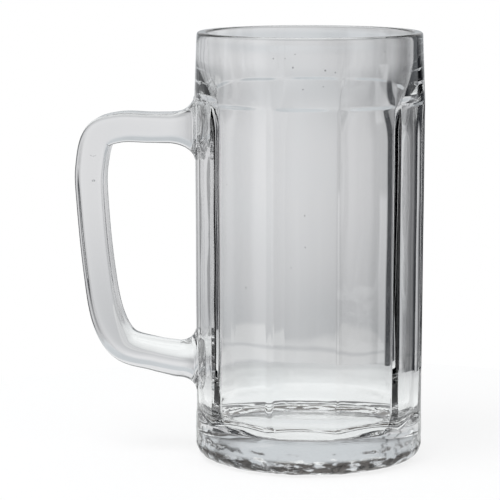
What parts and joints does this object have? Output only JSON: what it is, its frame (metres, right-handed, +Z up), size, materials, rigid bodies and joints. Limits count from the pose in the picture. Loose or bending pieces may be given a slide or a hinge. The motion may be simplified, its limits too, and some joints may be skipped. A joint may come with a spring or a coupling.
{
  "type": "beer glass",
  "caption": "Clear glass beer mug with flat upright panels under a plain round collar, a thick base and a side handle.",
  "frame": {"origin": "on the resting plane, at the middle of the footprint of body and handle together; the body's own axis stands 21.7 mm towards +X", "axes": "+Z up along the body's axis, handle towards -X, one flat panel facing -Y"},
  "size_m": [0.1278, 0.084, 0.156],
  "materials": {
    "body_glass": "fire-polished clear pressed glass with a stippled heel",
    "handle_glass": "clear drawn glass, slightly wavy, with a few seed bubbles"
  },
  "bodies": {
    "root": {"body": "body_glass", "handle": "handle_glass"}
  },
  "joints": []
}
